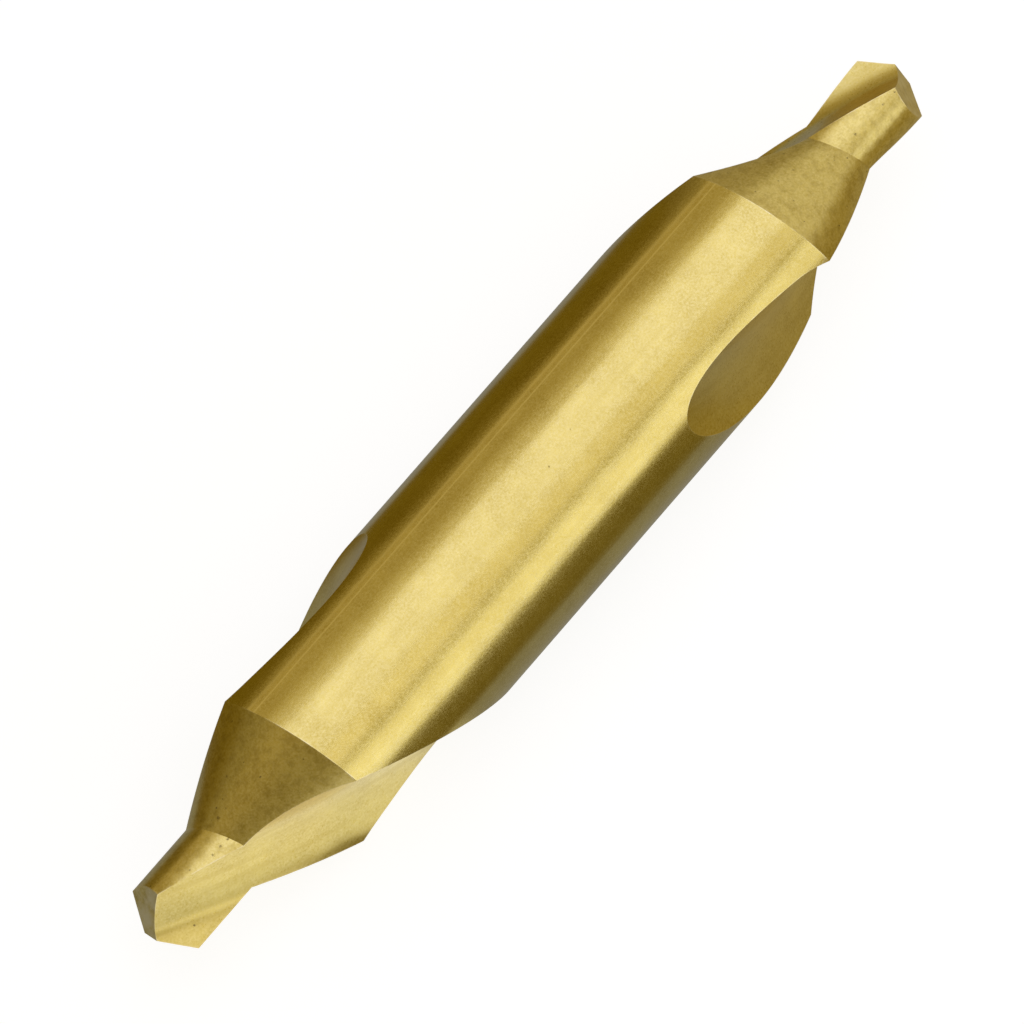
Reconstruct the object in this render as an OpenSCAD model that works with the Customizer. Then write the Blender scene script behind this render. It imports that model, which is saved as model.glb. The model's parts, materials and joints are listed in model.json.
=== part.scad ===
// Double-ended centre drill: one rod of tool steel, ground at both ends to a short pilot
// drill and a countersink cone, with two winding flutes a side.
// The drill's axis lies along X, and the origin is the middle of its shank.

/* [Rod] */
// Length from tip to tip
overall_l = 54; // [50:0.5:62]
// Diameter of the round shank
shank_d = 10; // [9:0.1:11]

/* [Pilot drill] */
// Diameter of the pilot drill
pilot_d = 4; // [3.2:0.05:5]
// Length of the pilot drill, from the tip to the cone
pilot_l = 4.9; // [4:0.05:6]
// Angle between the two cutting lips of the point
point_angle = 124; // [116:1:136]
// Angle from a cutting lip to the chisel edge between the two lips
chisel_angle = 135; // [120:1:145]
// Turn of the left end's lips behind the cutting edges of its cone
lip_left = 27; // [15:1:40]
// Turn of the right end's lips behind the cutting edges of its cone
lip_right = 46; // [30:1:60]

/* [Countersink cone] */
// Angle between opposite sides of the cone
cone_angle = 60; // [55:1:75]
// Shift of each land's cone off the axis, which clears the land behind its cutting edge
cone_relief = 0.36; // [0.1:0.02:0.5]
// Turn of that shift ahead of the cutting edge
relief_turn = 45; // [30:5:60]

/* [Flutes] */
// Thickness of the core left between the two flutes at the tip
web_t = 0.7; // [0.4:0.05:1]
// Radius of the round hollow that makes a flute
flute_r = 5; // [4.5:0.1:5.6]
// Radius that the flute's path is bent to, so that it winds round the drill
flute_bend_r = 31; // [26:1:40]
// Lean of the path away from the drill's axis
flute_lean = 26.5; // [22:0.5:30]
// Sideways shift of the path's plane from the tip
flute_shift = 0.3; // [0:0.05:1]
// Distance along the path from the tip to the flute's lowest point
flute_low = 4.7; // [3:0.1:6]
// Distance before the path's plane at which the rake face of a lip starts
rake_start = 0.45; // [0.3:0.05:0.6]
// Rise of the left end's rake faces towards the corners of their lips
rake_left = 14; // [10:1:40]
// Rise of the right end's rake faces towards the corners of their lips
rake_right = 50; // [10:1:60]

/* [Turn of the ends] */
// Turn of the cutting edges at the left end, about the drill's axis
turn_left = -55; // [-90:1:90]
// Turn of the cutting edges at the right end, about the drill's axis
turn_right = 45; // [-90:1:90]

/* [Hidden] */
$fn = 96;

shank_r = shank_d / 2;
pilot_r = pilot_d / 2;
cone_slope = tan(cone_angle / 2);

// A land is one of the two ridges between the flutes, and a half turn holds one land.
// This is the middle of that half turn, so that its sides fall inside the flutes.
land_middle = 30;

// The relieved cone starts at its own apex and ends where it is wider than the shank.
relief_drop = cone_relief * cos(relief_turn);
cone_apex_z = pilot_l - (pilot_r - relief_drop) / cone_slope;
cone_top_r = shank_r + cone_relief;
cone_top_z = cone_apex_z + cone_top_r / cone_slope;

// Slope of a point's flank, square to the chisel edge.
flank_slope = atan(1 / tan(point_angle / 2) / sin(chisel_angle));

// Centre of the bend, from the web's thickness at the tip.
web_reach = flute_r + web_t / 2;
tip_to_path = flute_bend_r - sqrt(pow(web_reach, 2) - pow(flute_shift, 2));
bend_y = sqrt(pow(tip_to_path, 2) - pow(flute_low, 2));

// The rake face is a cone about the bend's centre, which leaves the hollow at its foot.
rake_l = flute_r + rake_start;
rake_foot_r = flute_bend_r - sqrt(pow(flute_r, 2) - pow(rake_start, 2));

// Stretch of the bend that is used, from ahead of the tip to clear of the shank.
bend_start = -30;
bend_sweep = 80;

// Room that a cut reaches past the rod.
room = 1;
rod_box = shank_d + 2 * room;

// The rod that the drill is ground from.
module rod() {
    rotate([0, 90, 0])
        cylinder(h = overall_l, d = shank_d, center = true);
}

// Places a cut twice round one end. There +Z runs from the tip into the shank, and a cutting
// edge meets the cone's wide end along +X. The side is -1 for the left end and 1 for the right.
module at_each_land(side, turn) {
    translate([side * overall_l / 2, 0, 0])
        rotate([0, -90 * side, 0])
            for (half_turn = [0, 180])
                rotate(half_turn - side * turn)
                    children();
}

// Cone of one land, set off the axis so that it falls away behind the cutting edge.
module relieved_cone() {
    rotate(-relief_turn)
        translate([cone_relief, 0, cone_apex_z])
            cylinder(h = cone_top_z - cone_apex_z, r1 = 0, r2 = cone_top_r);
}

// What is ground off the rod round one land, down to its cone and the pilot drill.
module land_grind() {
    difference() {
        rotate(land_middle)
            translate([0, -rod_box / 2, -room])
                cube([rod_box, rod_box, cone_top_z + room]);
        relieved_cone();
        translate([0, 0, -2 * room])
            cylinder(h = cone_top_z + room, r = pilot_r);
    }
}

// One flute: a round hollow that runs along a bent path and out through the shank's side.
// Its rake face rises from the bottom of the hollow to the outer corner of the cutting lip.
module flute(rake) {
    rotate([0, flute_lean, 0])
        translate([flute_shift, bend_y, flute_low])
            rotate([0, -90, 0])
                rotate(270 + bend_start)
                    difference() {
                        rotate_extrude(angle = bend_sweep)
                            translate([flute_bend_r, 0])
                                circle(r = flute_r);
                        translate([0, 0, -flute_r])
                            cylinder(h = rake_l + room,
                                     r1 = rake_foot_r + rake_l * tan(rake),
                                     r2 = rake_foot_r - room * tan(rake));
                    }
}

// One flank of the drill's point: a flat that meets its fellow in the chisel edge.
module point_flank(lip_turn) {
    rotate(chisel_angle - 90 - lip_turn)
        rotate([0, -flank_slope, 0])
            translate([-rod_box / 2, -rod_box / 2, -rod_box])
                cube(rod_box);
}

module centre_drill() {
    color([0.83, 0.70, 0.30])
        difference() {
            rod();
            at_each_land(-1, turn_left) {
                land_grind();
                flute(rake_left);
                point_flank(lip_left);
            }
            at_each_land(1, turn_right) {
                land_grind();
                flute(rake_right);
                point_flank(lip_right);
            }
        }
}

centre_drill();
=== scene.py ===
# %% [markdown]
# # A coated centre drill
# A centre drill is a short stiff rod of tool steel. Each end is ground to a thin pilot drill
# and a 60 degree cone behind it, and two flutes wind past both. The gold colour is a hard
# coating a few thousandths of a millimetre thick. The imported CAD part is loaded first,
# because everything else in this file is built around it and stays inside its box.

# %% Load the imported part
import json
import math

import bmesh
import bpy
from mathutils import Matrix, Vector

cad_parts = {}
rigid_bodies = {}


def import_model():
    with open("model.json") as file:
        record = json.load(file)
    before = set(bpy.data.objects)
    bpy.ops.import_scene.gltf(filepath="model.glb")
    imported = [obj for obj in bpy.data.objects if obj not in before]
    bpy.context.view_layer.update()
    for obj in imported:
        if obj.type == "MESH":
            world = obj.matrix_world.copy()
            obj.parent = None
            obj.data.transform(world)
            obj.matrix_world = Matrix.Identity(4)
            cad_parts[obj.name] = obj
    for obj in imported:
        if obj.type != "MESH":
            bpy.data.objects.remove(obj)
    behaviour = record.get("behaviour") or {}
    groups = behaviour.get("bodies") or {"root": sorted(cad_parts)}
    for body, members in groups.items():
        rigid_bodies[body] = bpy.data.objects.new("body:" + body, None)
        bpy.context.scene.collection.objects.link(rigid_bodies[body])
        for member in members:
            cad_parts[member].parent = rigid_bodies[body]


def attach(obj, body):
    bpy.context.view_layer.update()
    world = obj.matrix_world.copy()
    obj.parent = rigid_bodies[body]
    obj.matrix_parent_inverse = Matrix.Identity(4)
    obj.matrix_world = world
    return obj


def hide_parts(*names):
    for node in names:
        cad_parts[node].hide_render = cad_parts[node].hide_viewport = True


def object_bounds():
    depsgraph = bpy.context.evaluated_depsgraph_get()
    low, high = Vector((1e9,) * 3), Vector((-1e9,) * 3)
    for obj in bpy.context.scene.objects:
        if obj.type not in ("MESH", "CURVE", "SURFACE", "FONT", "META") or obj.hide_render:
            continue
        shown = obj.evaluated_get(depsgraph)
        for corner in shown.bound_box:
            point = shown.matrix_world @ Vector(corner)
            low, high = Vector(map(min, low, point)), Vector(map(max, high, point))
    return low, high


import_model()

cad_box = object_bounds()
print("CAD box in metres:", [tuple(round(v, 4) for v in corner) for corner in cad_box])

# %% [markdown]
# ## The camera
# The drill lies on a table along the X axis, and it is seen from almost straight above with a
# long lens, so that its two ends look nearly the same size. A camera could be aimed by a
# constraint. Three direction vectors in a matrix say the same thing with nothing left live.

# %% Camera
MM = 0.001
CAMERA_PLACE = Vector((-68.43, -56.56, 346.15)) * MM
CAMERA_FORWARD = Vector((0.188598, 0.159211, -0.969063))
LENS_MM, SENSOR_MM = 271.27, 36
CLIP_NEAR, CLIP_FAR = 0.01, 20

camera_data = bpy.data.cameras.new("camera")
camera_data.lens = LENS_MM
camera_data.sensor_width = SENSOR_MM
camera_data.clip_start = CLIP_NEAR
camera_data.clip_end = CLIP_FAR
camera = bpy.data.objects.new("camera", camera_data)
bpy.context.scene.collection.objects.link(camera)
side = CAMERA_FORWARD.cross(Vector((0, 0, 1))).normalized()
above = side.cross(CAMERA_FORWARD).normalized()
turn = Matrix((side, above, -CAMERA_FORWARD.normalized())).transposed()
camera.matrix_world = Matrix.Translation(CAMERA_PLACE) @ turn.to_4x4()
bpy.context.scene.camera = camera
print("camera looks along", tuple(round(v, 3) for v in CAMERA_FORWARD))

# %% [markdown]
# ## The sizes of the drill
# These are the sizes that the drill is ground to, in millimetres and degrees. They agree with
# the CAD part, so that the finer mesh made here fills the same space.

# %% Sizes
OVERALL_L = 54.0
SHANK_R = 5.0
PILOT_R = 2.0
PILOT_L = 4.9
POINT_ANGLE = math.radians(124)
CHISEL_ANGLE = math.radians(135)
CONE_ANGLE = math.radians(60)
CONE_RELIEF = 0.36
RELIEF_TURN = math.radians(45)
WEB_T = 0.7
FLUTE_R = 5.0
FLUTE_BEND_R = 31.0
FLUTE_LEAN = math.radians(26.5)
FLUTE_SHIFT = 0.3
FLUTE_LOW = 4.7
RAKE_START = 0.45
LEFT, RIGHT = -1, 1
END_TURNS = {LEFT: math.radians(-55), RIGHT: math.radians(45)}
LIP_TURNS = {LEFT: math.radians(27), RIGHT: math.radians(46)}
RAKE_RISES = {LEFT: math.radians(14), RIGHT: math.radians(50)}
LAND_MIDDLE = math.radians(30)
ROOM = 1.0

rod_box = 2 * (SHANK_R + ROOM)
cone_slope = math.tan(CONE_ANGLE / 2)
cone_apex = PILOT_L - (PILOT_R - CONE_RELIEF * math.cos(RELIEF_TURN)) / cone_slope
cone_top_r = SHANK_R + CONE_RELIEF
cone_l = cone_top_r / cone_slope
flank_slope = math.atan(1 / math.tan(POINT_ANGLE / 2) / math.sin(CHISEL_ANGLE))
web_reach = FLUTE_R + WEB_T / 2
tip_to_path = FLUTE_BEND_R - math.sqrt(web_reach**2 - FLUTE_SHIFT**2)
bend_side = math.sqrt(tip_to_path**2 - FLUTE_LOW**2)
rake_foot_r = FLUTE_BEND_R - math.sqrt(FLUTE_R**2 - RAKE_START**2)
print(f"cone apex {cone_apex:.2f} mm behind the tip,",
      f"flank slope {math.degrees(flank_slope):.1f} degrees")

# %% [markdown]
# ## Building with nodes
# Geometry Nodes and shader nodes are both trees of nodes with sockets. One small helper adds
# a node, sets its options, and fills each socket with a value or a link. A list of links is
# for a socket that takes many. A second helper adds the Math node, which both kinds have.

# %% Node helpers
def put(tree, kind, feeds=None, **options):
    made = tree.nodes.new(kind)
    for option, value in options.items():
        setattr(made, option, value)
    for socket, feed in (feeds or {}).items():
        for one in feed if isinstance(feed, list) else [feed]:
            if isinstance(one, bpy.types.NodeSocket):
                tree.links.new(one, made.inputs[socket])
            else:
                made.inputs[socket].default_value = one
    return made


def math_of(tree, operation, *feeds):
    return put(tree, "ShaderNodeMath", dict(enumerate(feeds)), operation=operation).outputs[0]


# %% [markdown]
# ## Grinding the drill
# The real drill is ground out of a rod, one cut at a time, and every cut is made twice round
# and at both ends. That is a rule, so a Geometry Nodes tree can follow it: it makes a rod and
# three cutters, sets copies of them round both ends, and takes them away with one Mesh
# Boolean. Modelling the flutes by hand would be slow and less exact. The tree works in
# millimetres, and its last steps bring it to metres.

# %% Tree and its inputs
EDGE_MERGE = 0.001
grinding = bpy.data.node_groups.new("drill_grinding", "GeometryNodeTree")
TREE_SIZES = {
    "Overall Length": OVERALL_L,
    "Shank Radius": SHANK_R,
    "Pilot Radius": PILOT_R,
    "Flute Radius": FLUTE_R,
    "Flute Bend Radius": FLUTE_BEND_R,
    "Edge Merge": EDGE_MERGE,
}
socket_ids = {}
for name, size in TREE_SIZES.items():
    made = grinding.interface.new_socket(name, in_out="INPUT", socket_type="NodeSocketFloat")
    made.default_value = size
    socket_ids[name] = made.identifier
grinding.interface.new_socket("Drill", in_out="OUTPUT", socket_type="NodeSocketGeometry")
sizes_in = grinding.nodes.new("NodeGroupInput").outputs
print("tree inputs:", ", ".join(socket_ids))

# %% [markdown]
# Four more helpers move a piece, cut a body, leave a number on all the faces of a cutter, and
# find the faces with that number after the cut. An edge has the mean of its faces' numbers.
# The flute's number stands apart from the others, so that only an edge inside a flute has it.

# %% Moving, cutting and marking
SHANK, CONE, FLANK, FLUTE = 0, 1, 2, 4
WHOLE_A, WHOLE_B = 2, 3


def move(geometry, place=(0, 0, 0), turn=(0, 0, 0), scale=(1, 1, 1)):
    feeds = {"Geometry": geometry, "Translation": place, "Rotation": turn, "Scale": scale}
    return put(grinding, "GeometryNodeTransform", feeds).outputs["Geometry"]


def cut(body, cutters):
    feeds = {"Mesh 1": body, "Mesh 2": cutters}
    made = put(grinding, "GeometryNodeMeshBoolean", feeds, operation="DIFFERENCE", solver="MANIFOLD")
    return made.outputs["Mesh"]


def marked(geometry, grind_kind):
    feeds = {"Geometry": geometry, "Name": "grind_kind", "Value": grind_kind}
    made = put(grinding, "GeometryNodeStoreNamedAttribute", feeds, data_type="INT", domain="FACE")
    return made.outputs["Geometry"]


def is_kind(kind):
    """True where a cutter of this kind left its number; Compare takes whole numbers at 2 and 3."""
    kept = put(grinding, "GeometryNodeInputNamedAttribute", {"Name": "grind_kind"}, data_type="INT")
    feeds = {WHOLE_A: kept.outputs["Attribute"], WHOLE_B: kind}
    made = put(grinding, "FunctionNodeCompare", feeds, data_type="INT", operation="EQUAL")
    return made.outputs["Result"]


# %% [markdown]
# The first cutter is what the wheel takes off round one land, a land being a ridge between
# two flutes: half a box, less the pilot drill and less a cone. The cone stands a little off
# the axis, so that the land falls away behind its cutting edge and doesn't rub.

# %% Cone and pilot grind
ROUND_STEPS, CONE_RINGS = 384, 48
PILOT_STEPS, PILOT_RINGS = 192, 24
grind_l = cone_apex + cone_l + ROOM
half_box = put(grinding, "GeometryNodeMeshCube", {"Size": (rod_box, rod_box, grind_l)})
half_box = move(half_box.outputs["Mesh"], (rod_box / 2, 0, grind_l / 2 - ROOM))
half_box = move(half_box, turn=(0, 0, LAND_MIDDLE))
cone = put(grinding, "GeometryNodeMeshCone", {
    "Vertices": ROUND_STEPS, "Side Segments": CONE_RINGS,
    "Radius Top": cone_top_r, "Radius Bottom": 0.0, "Depth": cone_l})
cone = move(cone.outputs["Mesh"], (CONE_RELIEF, 0, cone_apex))
cone = move(cone, turn=(0, 0, -RELIEF_TURN))
pilot = put(grinding, "GeometryNodeMeshCylinder", {
    "Vertices": PILOT_STEPS, "Side Segments": PILOT_RINGS,
    "Radius": sizes_in["Pilot Radius"], "Depth": grind_l})
pilot = move(pilot.outputs["Mesh"], (0, 0, grind_l / 2 - 2 * ROOM))
land_grind = marked(cut(half_box, [cone, pilot]), CONE)
print(f"the grind round a land is {grind_l:.1f} mm long")

# %% [markdown]
# The second cutter makes a flute. A round wheel that runs along a bent path leaves a hollow
# like the inside of a ring, so a circle is swept along an arc. The arc leans across the
# drill's axis, and that makes the flute wind round it and run out through the shank's side.
# Where each spot lies along the bend is kept as an attribute, for the lines that the wheel
# leaves.

# %% Ring along the bend
BEND_START = math.radians(240)
BEND_SWEEP = math.radians(80)
BEND_STEPS, WHEEL_STEPS = 300, 256
bend = put(grinding, "GeometryNodeCurveArc", {
    "Resolution": BEND_STEPS, "Radius": sizes_in["Flute Bend Radius"],
    "Start Angle": BEND_START, "Sweep Angle": BEND_SWEEP}, mode="RADIUS")
wheel = put(grinding, "GeometryNodeCurvePrimitiveCircle", {
    "Resolution": WHEEL_STEPS, "Radius": sizes_in["Flute Radius"]}, mode="RADIUS")
ring = put(grinding, "GeometryNodeCurveToMesh", {
    "Curve": bend.outputs["Curve"], "Profile Curve": wheel.outputs["Curve"], "Fill Caps": True})


def place_on_bend():
    """A spot's axes, its place in the bend's plane, and how far that is from the bend's centre."""
    spot = put(grinding, "GeometryNodeInputPosition").outputs["Position"]
    axes = put(grinding, "ShaderNodeSeparateXYZ", {"Vector": spot}).outputs
    flat = put(grinding, "ShaderNodeCombineXYZ", {"X": axes["X"], "Y": axes["Y"]}).outputs["Vector"]
    reach = put(grinding, "ShaderNodeVectorMath", {0: flat}, operation="LENGTH").outputs["Value"]
    return axes, flat, reach


def with_wheel_lines(geometry):
    """Keeps each spot's place along, across and out from the bend, for the lines in the material."""
    axes, _, reach = place_on_bend()
    angle = math_of(grinding, "ARCTAN2", axes["Y"], axes["X"])
    feeds = {"X": angle, "Y": axes["Z"], "Z": reach}
    place = put(grinding, "ShaderNodeCombineXYZ", feeds).outputs["Vector"]
    feeds = {"Geometry": geometry, "Name": "wheel_lines", "Value": place}
    made = put(grinding, "GeometryNodeStoreNamedAttribute", feeds,
               data_type="FLOAT_VECTOR", domain="CORNER")
    return made.outputs["Geometry"]


print("the flute's ring has", BEND_STEPS, "steps along the bend and", WHEEL_STEPS, "round the wheel")

# %% [markdown]
# Close to the tip one side of the hollow rises to the corner of the cutting lip. That is the
# rake face, a cone about the bend's centre, and each end of the drill has its own rise. Seen
# along the bend, the hollow is a circle with one side cut straight. Set Position moves the
# points past that side in to it, and a Smooth Minimum of the two distances rounds the crease
# between them, as the corner of a real wheel is never quite sharp.

# %% Flute hollow
QUARTER = math.pi / 2
CREASE_ROUNDING = 0.7
LEAST_FACING = 0.01


def flute_hollow(rise):
    """The ring, with one side moved in to the straight side of a rake face with this rise."""
    straight_off = (FLUTE_BEND_R - rake_foot_r) * math.cos(rise) - RAKE_START * math.sin(rise)
    rounding = CREASE_ROUNDING * (FLUTE_R - straight_off)
    bend_r, flute_r = sizes_in["Flute Bend Radius"], sizes_in["Flute Radius"]
    axes, flat, reach = place_on_bend()
    turn = math_of(grinding, "ARCTAN2", axes["Z"], math_of(grinding, "SUBTRACT", reach, bend_r))
    facing = math_of(grinding, "COSINE", math_of(grinding, "SUBTRACT", turn, math.pi + rise))
    facing = math_of(grinding, "MAXIMUM", facing, LEAST_FACING)
    to_straight = math_of(grinding, "DIVIDE", straight_off, facing)
    depth = math_of(grinding, "SMOOTH_MIN", flute_r, to_straight, rounding)
    new_z = math_of(grinding, "MULTIPLY", depth, math_of(grinding, "SINE", turn))
    new_reach = math_of(grinding, "MULTIPLY_ADD", depth, math_of(grinding, "COSINE", turn), bend_r)
    outward = put(grinding, "ShaderNodeVectorMath", {0: flat}, operation="NORMALIZE").outputs["Vector"]
    new_flat = put(grinding, "ShaderNodeVectorMath", {
        0: outward, "Scale": new_reach}, operation="SCALE").outputs["Vector"]
    lift = put(grinding, "ShaderNodeCombineXYZ", {"Z": new_z}).outputs["Vector"]
    new_spot = put(grinding, "ShaderNodeVectorMath", {
        0: new_flat, 1: lift}, operation="ADD").outputs["Vector"]
    hollow = put(grinding, "GeometryNodeSetPosition", {
        "Geometry": ring.outputs["Mesh"], "Position": new_spot}).outputs["Geometry"]
    hollow = with_wheel_lines(hollow)
    hollow = move(move(hollow, turn=(0, -QUARTER, 0)), (FLUTE_SHIFT, bend_side, FLUTE_LOW))
    return marked(move(hollow, turn=(0, FLUTE_LEAN, 0)), FLUTE)


# %% [markdown]
# The third cutter is a flat on the point. Two of them meet in the chisel edge, the short
# blunt line between the drill's two lips.

# %% Point flank
def point_flank(lip_turn):
    flat = put(grinding, "GeometryNodeMeshCube", {"Size": (rod_box, rod_box, rod_box)})
    flat = move(flat.outputs["Mesh"], (0, 0, -rod_box / 2))
    flat = move(flat, turn=(0, -flank_slope, 0))
    return marked(move(flat, turn=(0, 0, CHISEL_ANGLE - QUARTER - lip_turn)), FLANK)


# %% [markdown]
# Now the copies. At each end a cutter is turned to its half of the rod, then laid along X with
# its tip at the rod's end. One Mesh Boolean takes all twelve from the rod. Its new edges have
# some very short pieces, and Merge by Distance closes those up.

# %% Set the cutters round both ends and cut
ROD_RINGS = 108
rod = put(grinding, "GeometryNodeMeshCylinder", {
    "Vertices": ROUND_STEPS, "Side Segments": ROD_RINGS,
    "Radius": sizes_in["Shank Radius"], "Depth": sizes_in["Overall Length"]})
rod = move(rod.outputs["Mesh"], turn=(0, QUARTER, 0))
cutters = []
for end, end_turn in END_TURNS.items():
    end_cutters = (land_grind, flute_hollow(RAKE_RISES[end]), point_flank(LIP_TURNS[end]))
    for half_turn in (0, math.pi):
        for cutter in end_cutters:
            turned = move(cutter, turn=(0, 0, half_turn - end * end_turn))
            cutters.append(move(turned, (end * OVERALL_L / 2, 0, 0), (0, -end * QUARTER, 0)))
drill = cut(rod, cutters)
drill = put(grinding, "GeometryNodeMergeByDistance", {
    "Geometry": drill, "Distance": sizes_in["Edge Merge"]}).outputs["Geometry"]
print(len(cutters), "cutters are set round the rod")

# %% [markdown]
# The edges of a cutting tool are left sharp, so the smooth shading is split there, but not
# inside a flute, where the wheel leaves a soft hollow. Wear shows first on the edges that
# stand out, and a painted highlight is laid on them too, the thin bright line that a slightly
# rounded edge would catch. The materials need to know how far a spot is from such an edge.
# Geometry Proximity measures that, and it is kept on the mesh as an attribute.

# %% Sharp edges and the distance from them
EDGE_ANGLE = math.radians(20)
angles = put(grinding, "GeometryNodeInputMeshEdgeAngle").outputs
bent = put(grinding, "FunctionNodeCompare", {
    0: angles["Unsigned Angle"], 1: EDGE_ANGLE}, operation="GREATER_THAN").outputs["Result"]
is_sharp = put(grinding, "FunctionNodeBooleanMath", {
    0: bent, 1: is_kind(FLUTE)}, operation="NIMPLY").outputs["Boolean"]
drill = put(grinding, "GeometryNodeSetShadeSmooth", {
    "Geometry": drill, "Selection": is_sharp, "Shade Smooth": False}, domain="EDGE").outputs["Geometry"]
not_outer = put(grinding, "FunctionNodeCompare", {
    0: angles["Signed Angle"], 1: EDGE_ANGLE}, operation="LESS_THAN").outputs["Result"]
edge_lines = put(grinding, "GeometryNodeDeleteGeometry", {
    "Geometry": drill, "Selection": not_outer}, domain="EDGE", mode="EDGE_FACE").outputs["Geometry"]
near_edge = put(grinding, "GeometryNodeProximity", {0: edge_lines}, target_element="EDGES")
drill = put(grinding, "GeometryNodeStoreNamedAttribute", {
    "Geometry": drill, "Name": "edge_distance", "Value": near_edge.outputs["Distance"]},
    data_type="FLOAT", domain="POINT").outputs["Geometry"]
drill = move(drill, scale=(MM, MM, MM))
print("the grinding tree has", len(grinding.nodes), "nodes so far")

# %% [markdown]
# ## The coating
# The coating is metallic and gold, and as rough as the ground steel under it. Close up it has
# a sandy grain about a tenth of a millimetre across, a mottling a few times larger, and slow
# patches that are paler or browner. All the ground faces share these, so they are made once,
# as a shader node group that puts out masks, and each material mixes them in its own amounts.
# The pattern is read from Object coordinates, which stay with the drill.

# %% Grain and patches group
FLOAT, VECTOR = "NodeSocketFloat", "NodeSocketVector"
WAVE_STRETCH = (0.4, 1.2, 1.2)
WAVE_DETAIL, WAVE_ROUGHNESS = 1.0, 0.4
# For each mask: its scale's input, the noise's detail and roughness, and where it starts and ends.
GRAIN_MASKS = {
    "Grain": ("Grain Scale", 2.0, 0.6, 0.28, 0.72),
    "Mottle": ("Mottle Scale", 4.0, 0.65, 0.46, 0.70),
    "Patches": ("Patch Scale", 3.0, 0.6, 0.3, 0.7),
}


def new_group(name, inputs, outputs):
    group = bpy.data.node_groups.new(name, "ShaderNodeTree")
    for label, kind, value in inputs:
        made = group.interface.new_socket(label, in_out="INPUT", socket_type=kind)
        if value is not None:
            made.default_value = value
    for label in outputs:
        group.interface.new_socket(label, in_out="OUTPUT", socket_type=FLOAT)
    group_in, group_out = group.nodes.new("NodeGroupInput"), group.nodes.new("NodeGroupOutput")
    return group, group_in.outputs, group_out.inputs


def noise(tree, vector, scale, detail=3.0, roughness=0.55):
    feeds = {"Vector": vector, "Scale": scale, "Detail": detail, "Roughness": roughness}
    return put(tree, "ShaderNodeTexNoise", feeds).outputs["Fac"]


def spread(tree, value, low, high):
    feeds = {"Value": value, "From Min": low, "From Max": high}
    return put(tree, "ShaderNodeMapRange", feeds, clamp=True).outputs["Result"]


grain_group, grain_in, grain_out = new_group(
    "coating_grain",
    [("Vector", VECTOR, None), ("Grain Scale", FLOAT, 9.0), ("Mottle Scale", FLOAT, 2.2),
     ("Patch Scale", FLOAT, 0.5), ("Wave Scale", FLOAT, 0.28)],
    ["Grain", "Mottle", "Patches", "Waves"])
tree = grain_group
place = grain_in["Vector"]
for label, (scale, detail, roughness, start, end) in GRAIN_MASKS.items():
    mask = spread(tree, noise(tree, place, grain_in[scale], detail, roughness), start, end)
    tree.links.new(mask, grain_out[label])
along = put(tree, "ShaderNodeVectorMath", {0: place, 1: WAVE_STRETCH}, operation="MULTIPLY")
waves = noise(tree, along.outputs["Vector"], grain_in["Wave Scale"], WAVE_DETAIL, WAVE_ROUGHNESS)
tree.links.new(waves, grain_out["Waves"])
print("grain group:", [s.name for s in grain_group.interface.items_tree])

# %% [markdown]
# A pit is a small dark spot. A Voronoi texture gives a distance to scattered points, and only
# the points whose random colour is low enough become pits, so they are neither regular nor
# everywhere. Noise added to the distance makes their rims ragged.

# %% Pits group
RIM_SCALE, RIM_RAGGED = 11.0, 2.6
pit_group, pit_in, pit_out = new_group(
    "coating_pits",
    [("Vector", VECTOR, None), ("Density", FLOAT, 0.7), ("Size", FLOAT, 0.07), ("Share", FLOAT, 0.4)],
    ["Pits"])
tree = pit_group
scatter = put(tree, "ShaderNodeTexVoronoi", {"Vector": pit_in["Vector"], "Scale": pit_in["Density"]})
pick = put(tree, "ShaderNodeSeparateColor", {"Color": scatter.outputs["Color"]}).outputs
chosen = math_of(tree, "LESS_THAN", pick["Red"], pit_in["Share"])
reach = math_of(tree, "MULTIPLY", pit_in["Size"], pick["Green"])
uneven = math_of(tree, "SUBTRACT", noise(tree, pit_in["Vector"], RIM_SCALE), 0.5)
uneven = math_of(tree, "MULTIPLY", uneven, math_of(tree, "MULTIPLY", pit_in["Size"], RIM_RAGGED))
ragged = math_of(tree, "ADD", scatter.outputs["Distance"], uneven)
inside = spread(tree, ragged, reach, 0.0)
tree.links.new(math_of(tree, "MULTIPLY", inside, chosen), pit_out["Pits"])
print("pit group:", [s.name for s in pit_group.interface.items_tree])

# %% [markdown]
# A grinding wheel leaves fine lines, all in the way it moved. Noise that is stretched along
# one way gives such lines, and how far to stretch it is an input: along the shank, round the
# cones, or along a flute, where the attribute that came from the cutter follows the bend.

# %% Wheel lines group
STREAK_START, STREAK_END = 0.45, 0.65
line_group, line_in, line_out = new_group(
    "wheel_lines", [("Vector", VECTOR, None), ("Stretch", VECTOR, (1, 1, 1))], ["Lines", "Streaks"])
tree = line_group
stretched = put(tree, "ShaderNodeVectorMath", {
    0: line_in["Vector"], 1: line_in["Stretch"]}, operation="MULTIPLY").outputs["Vector"]
lines = noise(tree, stretched, scale=1.0, detail=2.0)
tree.links.new(lines, line_out["Lines"])
tree.links.new(spread(tree, lines, STREAK_START, STREAK_END), line_out["Streaks"])
print("line group:", [s.name for s in line_group.interface.items_tree])
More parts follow.
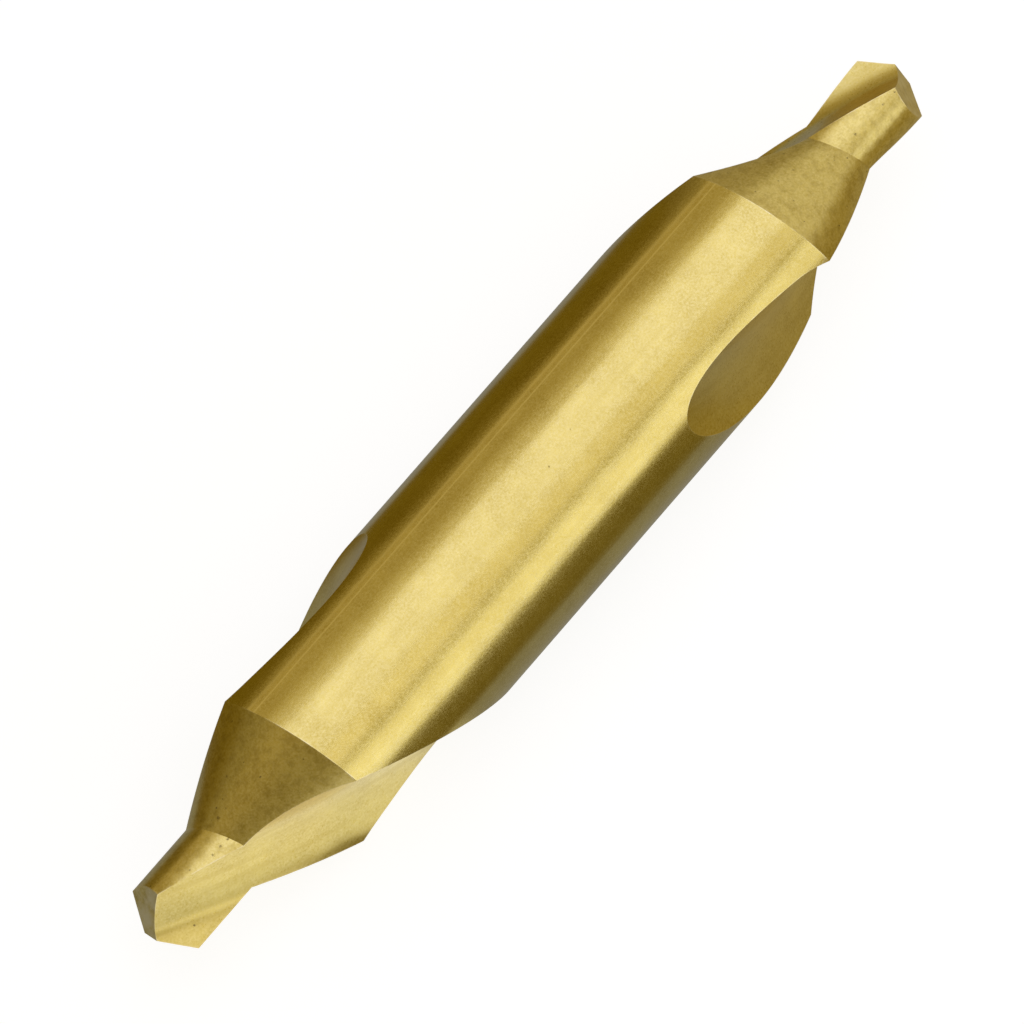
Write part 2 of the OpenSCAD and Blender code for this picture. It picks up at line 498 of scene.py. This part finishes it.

# %% [markdown]
# On an edge that stands out the coating wears thin and looks paler. The same paler colour is
# also a painted highlight, the thin bright line that a slightly rounded edge would catch. The
# mask is one right at the edge and fades out over the Reach, and noise breaks it up, since wear
# is never even.

# %% Edge wear and painted highlight group
WEAR_HIGHLIGHT_SCALE, WEAR_HIGHLIGHT_START, WEAR_HIGHLIGHT_END = 1.6, 0.35, 0.65
wear_highlight_group, wear_highlight_in, wear_highlight_out = new_group(
    "edge_wear_and_highlight",
    [("Vector", VECTOR, None), ("Edge Distance", FLOAT, 1.0), ("Reach", FLOAT, 0.06)], ["Wear"])
tree = wear_highlight_group
near = spread(tree, wear_highlight_in["Edge Distance"], wear_highlight_in["Reach"], 0.0)
broken = spread(tree, noise(tree, wear_highlight_in["Vector"], WEAR_HIGHLIGHT_SCALE), WEAR_HIGHLIGHT_START, WEAR_HIGHLIGHT_END)
tree.links.new(math_of(tree, "MULTIPLY", near, broken), wear_highlight_out["Wear"])
print("wear group:", [s.name for s in wear_highlight_group.interface.items_tree])

# %% [markdown]
# Two thin strips of a paler, brighter colour run along the shank, a fine one and a fainter
# one beside it. They are colour alone, found by the angle round the axis, with no geometry.

# %% Colours and the lines along the shank
GOLD = (0.74, 0.585, 0.155, 1)
PALE_GOLD = (0.84, 0.70, 0.29, 1)
BROWN_GOLD = (0.56, 0.42, 0.085, 1)
DEEP_GOLD = (0.42, 0.30, 0.05, 1)
PIT_BROWN = (0.20, 0.135, 0.035, 1)
# Paler gold on the edges that stand out: wear, and a painted edge highlight.
WORN_HIGHLIGHT_GOLD = (0.84, 0.73, 0.42, 1)
LINE_GOLD = (0.95, 0.80, 0.36, 1)
# Each line along the shank: its degrees from the top, its half width in mm, and its strength.
SHANK_LINES = ((30.2, 0.07, 0.8), (34.3, 0.16, 0.6))
# The Mix node has a set of sockets for each kind of data. These are the ones for colours.
MIX_FACTOR, MIX_FIRST, MIX_SECOND, MIX_RESULT = 0, 6, 7, 2


def mix_colour(tree, factor, first, second):
    feeds = {MIX_FACTOR: factor, MIX_FIRST: first, MIX_SECOND: second}
    return put(tree, "ShaderNodeMix", feeds, data_type="RGBA").outputs[MIX_RESULT]


def drawn_line(tree, in_mm, degrees, half_width, strength):
    spot = put(tree, "ShaderNodeSeparateXYZ", {"Vector": in_mm}).outputs
    off = math_of(tree, "ARCTAN2", spot["Y"], spot["Z"])
    off = math_of(tree, "SUBTRACT", off, math.radians(degrees))
    off = math_of(tree, "ABSOLUTE", math_of(tree, "MULTIPLY", off, SHANK_R))
    return math_of(tree, "MULTIPLY", spread(tree, off, half_width, 0.0), strength)


print("lines along the shank at", [line[0] for line in SHANK_LINES], "degrees from the top")

# %% [markdown]
# A material starts by placing the four groups and giving them its own values. The drill is in
# metres and its patterns are in millimetres, so the coordinates are scaled first. More of the
# pits lie where the slow patches are pale.

# %% Placing the groups
# How far the wear and the painted edge highlight reach from an edge, in millimetres.
EDGE_WEAR_HIGHLIGHT_MM = 0.06
TO_MM = (1000, 1000, 1000)


def place_groups(tree, stretch, pits_like, along_wheel):
    """Adds the groups and gives their masks; pits_like is the pits' density, size and share."""
    place = put(tree, "ShaderNodeTexCoord").outputs["Object"]
    in_mm = put(tree, "ShaderNodeMapping", {"Vector": place, "Scale": TO_MM}).outputs["Vector"]
    on_wheel = put(tree, "ShaderNodeAttribute", attribute_name="wheel_lines").outputs["Vector"]
    to_edge = put(tree, "ShaderNodeAttribute", attribute_name="edge_distance").outputs["Fac"]
    density, size, share = pits_like
    grain = put(tree, "ShaderNodeGroup", node_tree=grain_group)
    pits = put(tree, "ShaderNodeGroup", node_tree=pit_group)
    lines = put(tree, "ShaderNodeGroup", node_tree=line_group)
    wear_highlight = put(tree, "ShaderNodeGroup", node_tree=wear_highlight_group)
    for group in (grain, pits, wear_highlight):
        tree.links.new(in_mm, group.inputs["Vector"])
    pits.inputs["Density"].default_value = density
    pits.inputs["Size"].default_value = size
    tree.links.new(math_of(tree, "MULTIPLY", grain.outputs["Patches"], share), pits.inputs["Share"])
    tree.links.new(on_wheel if along_wheel else in_mm, lines.inputs["Vector"])
    lines.inputs["Stretch"].default_value = stretch
    tree.links.new(to_edge, wear_highlight.inputs["Edge Distance"])
    wear_highlight.inputs["Reach"].default_value = EDGE_WEAR_HIGHLIGHT_MM
    masks = {socket.name: socket for group in (grain, pits, lines, wear_highlight) for socket in group.outputs}
    return masks, in_mm, on_wheel


# %% [markdown]
# The colour is built up in layers, each mixed over the last one by a mask: patches, grain and
# mottling first, then the streaks and lines, and the pits and the worn edges with their painted
# highlight on top. The bottom of a flute is painted darker, as painted shade where the hollow
# would lie in shadow.

# %% Colour in layers
GRAIN_TINT = 0.8
# How far the painted shade reaches from the bottom of a flute, and how dark it is.
VALLEY_MM, VALLEY_PAINTED_SHADE = 0.6, 0.35


# Painted shade: a mask that is one at the bottom of a flute and fades out over VALLEY_MM.
def painted_valley_shade(tree, on_wheel):
    across = put(tree, "ShaderNodeSeparateXYZ", {"Vector": on_wheel}).outputs["Y"]
    from_bottom = math_of(tree, "ABSOLUTE", math_of(tree, "SUBTRACT", across, RAKE_START))
    return math_of(tree, "MULTIPLY", spread(tree, from_bottom, VALLEY_MM, 0.0), VALLEY_PAINTED_SHADE)


def coating_colour(tree, masks, mottling, line_tint, valley_painted_shade, drawn_masks):
    """The layers; a flute gets painted shade in its hollow, and only the shank has drawn lines."""
    colour = mix_colour(tree, masks["Patches"], BROWN_GOLD, GOLD)
    tint = math_of(tree, "MULTIPLY", masks["Grain"], GRAIN_TINT)
    colour = mix_colour(tree, tint, colour, PALE_GOLD)
    mottled = math_of(tree, "MULTIPLY", masks["Mottle"], mottling)
    colour = mix_colour(tree, mottled, colour, DEEP_GOLD)
    # Painted shade at the bottom of a flute.
    if valley_painted_shade is not None:
        colour = mix_colour(tree, valley_painted_shade, colour, DEEP_GOLD)
    streaks = math_of(tree, "MULTIPLY", masks["Streaks"], line_tint)
    colour = mix_colour(tree, streaks, colour, BROWN_GOLD)
    for line in drawn_masks:
        colour = mix_colour(tree, line, colour, LINE_GOLD)
    colour = mix_colour(tree, masks["Pits"], colour, PIT_BROWN)
    # Wear and painted highlight on the edges that stand out.
    return mix_colour(tree, masks["Wear"], colour, WORN_HIGHLIGHT_GOLD)


# %% [markdown]
# Each kind of ground face then gets its own material from one function. They differ in how
# rough, mottled and pitted they are, and in the lines that the wheel left. The slow waves, the
# wheel lines and the grain are three Bump nodes in a row, the largest first.

# %% Materials
WAVE_HEIGHT, GRAIN_HEIGHT = 100e-6, 1.1e-6
GRAIN_ROUGHNESS, PIT_ROUGHNESS = 0.06, 0.2
COAT_WEIGHT, COAT_ROUGHNESS = 0.3, 0.10


def coated(name, roughness, stretch, line_depth, pits_like, mottling,
           line_tint=0.0, along_wheel=False, drawn=()):
    material = bpy.data.materials.new(name)
    material.use_nodes = True
    tree = material.node_tree
    shader = tree.nodes["Principled BSDF"]
    masks, in_mm, on_wheel = place_groups(tree, stretch, pits_like, along_wheel)
    # Painted shade for the bottom of a flute; the other faces have none.
    valley_painted_shade = painted_valley_shade(tree, on_wheel) if along_wheel else None
    drawn_masks = [drawn_line(tree, in_mm, *line) for line in drawn]
    colour = coating_colour(tree, masks, mottling, line_tint, valley_painted_shade, drawn_masks)
    tree.links.new(colour, shader.inputs["Base Color"])
    shader.inputs["Metallic"].default_value = 1.0
    smoothest = roughness - GRAIN_ROUGHNESS / 2
    rough = math_of(tree, "MULTIPLY_ADD", masks["Grain"], GRAIN_ROUGHNESS, smoothest)
    rough = math_of(tree, "MULTIPLY_ADD", masks["Pits"], PIT_ROUGHNESS, rough)
    tree.links.new(rough, shader.inputs["Roughness"])
    shader.inputs["Coat Weight"].default_value = COAT_WEIGHT
    shader.inputs["Coat Roughness"].default_value = COAT_ROUGHNESS
    bumps = {"Waves": WAVE_HEIGHT, "Lines": line_depth, "Grain": GRAIN_HEIGHT}
    normal = None
    for label, distance in bumps.items():
        bump = put(tree, "ShaderNodeBump", {"Height": masks[label], "Distance": distance})
        if normal is not None:
            tree.links.new(normal, bump.inputs["Normal"])
        normal = bump.outputs["Normal"]
    tree.links.new(normal, shader.inputs["Normal"])
    return material


FINISHES = {
    SHANK: coated("coated_shank", roughness=0.26, stretch=(0.04, 0.9, 0.9), line_depth=12e-6,
                  pits_like=(0.8, 0.08, 0.8), mottling=0.10, line_tint=0.35, drawn=SHANK_LINES),
    CONE: coated("coated_cone", roughness=0.33, stretch=(6, 0.6, 0.6), line_depth=3e-6,
                 pits_like=(2.2, 0.2, 1.2), mottling=0.55),
    FLUTE: coated("coated_flute", roughness=0.30, stretch=(4, 2.2, 2.2), line_depth=5e-6,
                  pits_like=(0.9, 0.07, 0.8), mottling=0.12, line_tint=0.3, along_wheel=True),
    FLANK: coated("coated_flank", roughness=0.34, stretch=(2, 2, 2), line_depth=2e-6,
                  pits_like=(0.9, 0.07, 0.7), mottling=0.7),
}
print("materials:", [m.name for m in FINISHES.values()])

# %% [markdown]
# The tree now ends: Realize Instances, then Set Material once for each kind of face, picked by
# the number that its cutter left on it.

# %% Finish the tree and make the mesh
drill = put(grinding, "GeometryNodeRealizeInstances", {"Geometry": drill}).outputs["Geometry"]
for kind, finish in FINISHES.items():
    feeds = {"Geometry": drill, "Selection": is_kind(kind), "Material": finish}
    drill = put(grinding, "GeometryNodeSetMaterial", feeds).outputs["Geometry"]
grinding.links.new(drill, grinding.nodes.new("NodeGroupOutput").inputs["Drill"])

carrier = bpy.data.objects.new("drill_carrier", bpy.data.meshes.new("drill_carrier"))
bpy.context.scene.collection.objects.link(carrier)
modifier = carrier.modifiers.new("grinding", "NODES")
modifier.node_group = grinding
for name, size in TREE_SIZES.items():
    modifier[socket_ids[name]] = size
evaluated = carrier.evaluated_get(bpy.context.evaluated_depsgraph_get())
ground_mesh = bpy.data.meshes.new_from_object(evaluated)
bpy.data.objects.remove(carrier)
print("ground mesh:", len(ground_mesh.vertices), "points,", len(ground_mesh.polygons), "faces, with",
      [a.name for a in ground_mesh.attributes])

# %% [markdown]
# The finished mesh becomes an object of its own. A bmesh measures it: a closed solid has no
# open edges, and its volume should be close to that of the CAD solid.

# %% The drill's own object
drill_piece = bpy.data.objects.new("drill_body", ground_mesh)
bpy.context.scene.collection.objects.link(drill_piece)
measure = bmesh.new()
measure.from_mesh(ground_mesh)
volume_mm3 = measure.calc_volume() / MM**3
triangles = sum(len(face.verts) - 2 for face in measure.faces)
open_edges = sum(not edge.is_manifold for edge in measure.edges)
print(f"drill volume {volume_mm3:.1f} mm3, {triangles} triangles, {open_edges} open edges")
measure.free()

# %% [markdown]
# ## The table, the light and the cards
# Polished metal shows its surroundings, so the light is most of its look. Soft boxes hang round
# the drill, and dark cards lie beside it, as a photographer would set them, so that its round
# sides show dark bands. The floor comes first. It gives off white light where the camera or a
# reflection sees it, and it still takes a faint shadow of the drill. To all other rays it is
# a plain pale table.

# %% Floor
FLOOR_Z = cad_box[0].z
FLOOR_HALF = 1.5
FLOOR_PLAIN, FLOOR_SHADOW = (0.85, 0.85, 0.85, 1), (0.25, 0.25, 0.25, 1)
FLOOR_WHITE, FLOOR_STRENGTH = (1, 1, 1, 1), 0.86


def bare_material(name):
    """A material with no nodes yet, and its tree."""
    material = bpy.data.materials.new(name)
    material.use_nodes = True
    material.node_tree.nodes.clear()
    return material, material.node_tree


def stage_sheet(name, points, faces, material):
    """A sheet that belongs to the stage and not to the drill."""
    mesh = bpy.data.meshes.new(name)
    mesh.from_pydata(points, [], faces)
    mesh.materials.append(material)
    made = bpy.data.objects.new(name, mesh)
    bpy.context.scene.collection.objects.link(made)
    return made


floor_finish, tree = bare_material("pale_floor")
path = put(tree, "ShaderNodeLightPath").outputs
seen = math_of(tree, "MAXIMUM", path["Is Camera Ray"], path["Is Glossy Ray"])
seen = math_of(tree, "MAXIMUM", seen, path["Is Transmission Ray"])
plain = put(tree, "ShaderNodeBsdfDiffuse", {"Color": FLOOR_PLAIN})
shadow = put(tree, "ShaderNodeBsdfDiffuse", {"Color": FLOOR_SHADOW})
white = put(tree, "ShaderNodeEmission", {"Color": FLOOR_WHITE, "Strength": FLOOR_STRENGTH})
lit = put(tree, "ShaderNodeAddShader", {0: shadow.outputs[0], 1: white.outputs[0]})
mixed = put(tree, "ShaderNodeMixShader", {0: seen, 1: plain.outputs[0], 2: lit.outputs[0]})
put(tree, "ShaderNodeOutputMaterial", {"Surface": mixed.outputs[0]})
corners = ((-1, -1), (1, -1), (1, 1), (-1, 1))
floor_points = [(x * FLOOR_HALF, y * FLOOR_HALF, FLOOR_Z) for x, y in corners]
stage_sheet("floor", floor_points, [(0, 1, 2, 3)], floor_finish)
print(f"floor at {FLOOR_Z / MM:.1f} mm, {2 * FLOOR_HALF} m wide")

# %% [markdown]
# A soft box shows on a round bar as a bright band along it, and its edge as the edge of the
# band. Each one is set by the angle round the axis at which the photo shows its band. The
# power of an area light is set from its size, so that its level compares with white.

# %% Soft boxes
LIGHT_REACH = 0.30
LEAN_X = 0.19


def soft_box(name, direction, across, along, level, colour=(1, 1, 1), slide=0.0):
    """A soft box that faces the drill, with its long side along X; a level of 1 is white."""
    data = bpy.data.lights.new(name, "AREA")
    data.shape = "RECTANGLE"
    data.size, data.size_y = along, across
    data.energy = level * math.pi * along * across
    data.color = colour
    made = bpy.data.objects.new(name, data)
    bpy.context.scene.collection.objects.link(made)
    back = Vector(direction).normalized()
    long_side = (Vector((1, 0, 0)) - back * back.x).normalized()
    short_side = back.cross(long_side)
    turn = Matrix((long_side, short_side, back)).transposed()
    made.matrix_world = Matrix.Translation(back * LIGHT_REACH + long_side * slide) @ turn.to_4x4()
    made.visible_camera = False


def over_side(degrees):
    """A direction round the drill's axis, from straight up (0) towards -Y (90)."""
    angle = math.radians(degrees)
    round_axis = math.sqrt(1 - LEAN_X**2)
    return (LEAN_X, -round_axis * math.sin(angle), round_axis * math.cos(angle))


COOL = (0.93, 0.98, 1.12)
CREAM = (0.93, 0.985, 1.28)
PALE = (1.0, 0.94, 0.80)
WARM = (1.0, 0.80, 0.42)
ORANGE = (1.0, 0.66, 0.12)
soft_box("top_box", over_side(-7), across=0.27, along=0.36, level=0.99, colour=CREAM)
soft_box("right_box", over_side(63), across=0.17, along=0.25, level=1.14, colour=COOL, slide=-0.055)
soft_box("between_box", over_side(30), across=0.12, along=0.25, level=0.80, slide=-0.055)
soft_box("fade_box", over_side(-38.5), across=0.08, along=0.36, level=0.39, colour=PALE)
soft_box("left_box", over_side(-62), across=0.17, along=0.36, level=0.165, colour=WARM)
soft_box("orange_box", over_side(-76), across=0.03, along=0.36, level=0.12, colour=ORANGE)
soft_box("near_box", (-0.74, 0.28, 0.61), across=0.18, along=0.14, level=0.12, colour=WARM)
soft_box("end_box", (0.96, 0.0, 0.22), across=0.42, along=0.14, level=0.51)

# %% [markdown]
# The dark bands at the drill's sides are what its lower sides reflect. A card on each side
# gives such a band. A greyer strip under the drill is a painted shadow of the floor there, as
# the reflections see it, and it gives the paler rims. A card's colour is kept on its points, so
# it can change slowly along the drill and fade to white at its ends. The cards are seen by
# reflections alone: not by the camera, nor as shadows.

# %% Card material and sheet
WHITE, PAPER = (0.96, 0.96, 0.94), (0.82, 0.82, 0.80)
OLIVE, BROWN, TAN = (0.17, 0.13, 0.022), (0.165, 0.114, 0.008), (0.33, 0.25, 0.06)
# The grey is a painted shadow of the floor under the drill, seen only in reflections.
UNDER_SHADOW_GREY, SAND = (0.27, 0.265, 0.245), (0.37, 0.31, 0.16)
card_finish, tree = bare_material("card")
own_colour = put(tree, "ShaderNodeAttribute", attribute_name="card_colour").outputs["Color"]
shade = put(tree, "ShaderNodeEmission", {"Color": own_colour})
put(tree, "ShaderNodeOutputMaterial", {"Surface": shade.outputs[0]})


def card(name, lines, colours):
    """A sheet through lines of points, with a row of colours, one for each point, to each line."""
    count = len(lines[0])
    faces = [(s * count + r, (s + 1) * count + r, (s + 1) * count + r + 1, s * count + r + 1)
             for s in range(len(lines) - 1) for r in range(count - 1)]
    made = stage_sheet(name, [point for line in lines for point in line], faces, card_finish)
    tints = made.data.color_attributes.new("card_colour", "FLOAT_COLOR", "POINT")
    for tint, colour in zip(tints.data, [colour for row in colours for colour in row]):
        tint.color = (*colour, 1)
    made.visible_camera = False
    made.visible_diffuse = False
    made.visible_shadow = False


# %% [markdown]
# A side card has five rows of points: under the drill, beside it, both sides of the step from
# pale to dark, and the top edge. It bends up, so that its dark part faces the drill's side. A
# panel stands upright and has one colour.

# %% Side cards and panels
UNDER_LIFT, BESIDE_Y, BESIDE_LIFT = 0.0002, 0.0060, 0.0006
FADE_WIDTH, FADE_Z, DARK_Z = 0.0006, -0.0024, -0.0020
TOP_EDGE = (0.020, 0.006)


def side_card(name, side, dark_from, stations):
    """A station is its x along the drill, then its pale and its dark colour."""
    rows = [(0.0, FLOOR_Z + UNDER_LIFT), (BESIDE_Y, FLOOR_Z + BESIDE_LIFT),
            (dark_from - FADE_WIDTH, FADE_Z), (dark_from, DARK_Z), TOP_EDGE]
    card(name, [[(x, side * y, z) for y, z in rows] for x, _, _ in stations],
         [(pale, pale, pale, dark, dark) for _, pale, dark in stations])


def panel(name, start, end, top_z, colour):
    """An upright card of one colour over a line on the floor."""
    card(name, [[(*spot, FLOOR_Z), (*spot, top_z)] for spot in (start, end)], [(colour, colour)] * 2)


# Where a card's pale colour is grey, it is a painted shadow of the floor under the drill.
side_card("right_card", side=-1, dark_from=0.0110, stations=[
    (-0.0170, WHITE, WHITE), (-0.0140, WHITE, OLIVE), (-0.0125, WHITE, OLIVE),
    (-0.0085, UNDER_SHADOW_GREY, OLIVE), (0.008, UNDER_SHADOW_GREY, OLIVE),
    (0.016, SAND, TAN), (0.060, SAND, TAN), (0.080, WHITE, WHITE)])
side_card("left_card", side=1, dark_from=0.0091, stations=[
    (-0.070, WHITE, WHITE), (-0.055, UNDER_SHADOW_GREY, BROWN), (0.016, UNDER_SHADOW_GREY, BROWN),
    (0.022, UNDER_SHADOW_GREY, SAND), (0.045, UNDER_SHADOW_GREY, SAND), (0.060, WHITE, WHITE)])
panel("near_panel", start=(-0.09, -0.07), end=(-0.006, -0.07), top_z=0.03, colour=PAPER)
panel("far_panel", start=(0.06, 0.018), end=(0.06, 0.09), top_z=0.010, colour=SAND)
cards = [o.name for o in bpy.context.scene.objects if o.name.endswith(("card", "panel"))]
print("cards:", cards)

# %% [markdown]
# The rest of the room is one dim, warm colour, which the ends of the drill reflect. The view
# transform is Standard, so that white stays white and the gold keeps its colour.

# %% World and view
ROOM_COLOUR = (0.29, 0.24, 0.11, 1)
world = bpy.data.worlds.new("room")
world.use_nodes = True
bpy.context.scene.world = world
world.node_tree.nodes["Background"].inputs["Color"].default_value = ROOM_COLOUR
bpy.context.scene.view_settings.view_transform = "Standard"
print("view transform:", bpy.context.scene.view_settings.view_transform)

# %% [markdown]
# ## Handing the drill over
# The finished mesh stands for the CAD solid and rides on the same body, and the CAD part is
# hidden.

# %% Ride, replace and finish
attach(drill_piece, "root")
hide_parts("centre_drill")
